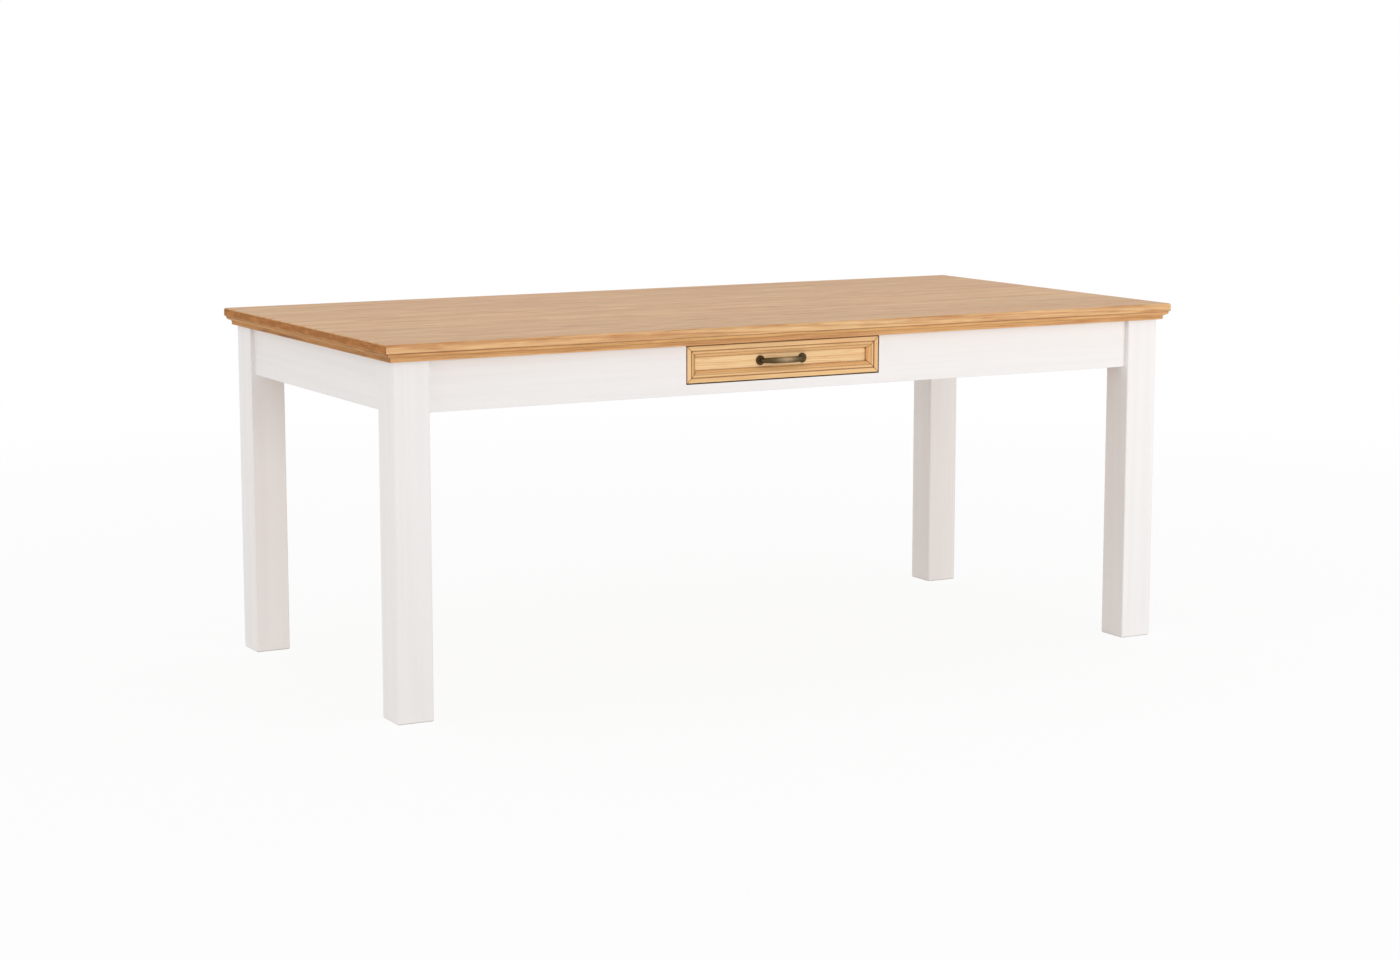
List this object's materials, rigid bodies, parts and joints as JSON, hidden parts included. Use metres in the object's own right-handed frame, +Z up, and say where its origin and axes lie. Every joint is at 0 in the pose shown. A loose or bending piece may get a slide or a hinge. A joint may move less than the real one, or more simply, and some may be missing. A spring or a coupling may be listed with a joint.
{
  "type": "tavern dining table",
  "caption": "Rectangular dining table with a moulded pine top, square white legs and aprons, and a pine drawer with a bow handle in the front apron.",
  "frame": {"origin": "on the floor under the middle of the top", "axes": "+X along the table, -Y towards the drawer side, +Z up"},
  "size_m": [1.9, 0.92, 0.76],
  "materials": {
    "waxed_pine": "satin wax",
    "white_paint": "satin paint on wood",
    "plain_pine": "bare planed",
    "aged_bronze": "dark antique",
    "zinc_steel": "zinc plated"
  },
  "bodies": {
    "table": {"apron_back": "white_paint", "apron_dowels": "plain_pine", "apron_front": "white_paint", "apron_left": "white_paint", "apron_right": "white_paint", "bolt_nuts": "zinc_steel", "bolt_washers": "zinc_steel", "corner_block_back_left": "plain_pine", "corner_block_back_right": "plain_pine", "corner_block_front_left": "plain_pine", "corner_block_front_right": "plain_pine", "corner_block_screws": "zinc_steel", "drawer_guide_left": "plain_pine", "drawer_guide_right": "plain_pine", "drawer_kicker_left": "plain_pine", "drawer_kicker_right": "plain_pine", "drawer_rear_stops": "plain_pine", "drawer_runner_left": "plain_pine", "drawer_runner_right": "plain_pine", "guide_dowels": "plain_pine", "hanger_bolts": "zinc_steel", "kicker_screws": "zinc_steel", "leg_back_left": "white_paint", "leg_back_right": "white_paint", "leg_front_left": "white_paint", "leg_front_right": "white_paint", "moulding_back": "waxed_pine", "moulding_front": "waxed_pine", "moulding_left": "waxed_pine", "moulding_right": "waxed_pine", "runner_screws": "zinc_steel", "top_board_1": "waxed_pine", "top_board_2": "waxed_pine", "top_board_3": "waxed_pine", "top_board_4": "waxed_pine", "top_board_5": "waxed_pine", "top_board_6": "waxed_pine", "top_board_7": "waxed_pine", "top_bracket_screws": "zinc_steel", "top_brackets": "zinc_steel"},
    "drawer": {"drawer_back": "plain_pine", "drawer_bottom": "plain_pine", "drawer_box_front": "plain_pine", "drawer_dowels": "plain_pine", "drawer_front_bottom_rail": "waxed_pine", "drawer_front_left_stile": "waxed_pine", "drawer_front_panel": "waxed_pine", "drawer_front_right_stile": "waxed_pine", "drawer_front_screws": "zinc_steel", "drawer_front_top_rail": "waxed_pine", "drawer_side_left": "plain_pine", "drawer_side_right": "plain_pine", "drawer_stop_blocks": "plain_pine", "drawer_stop_screws": "zinc_steel", "handle_bow": "aged_bronze", "handle_rosettes": "aged_bronze", "handle_screws": "zinc_steel"}
  },
  "joints": [
    {"name": "drawer_slide", "type": "slide", "parent": "table", "child": "drawer", "axis": [0, -1, 0], "range_m": [0, 0.3]}
  ]
}
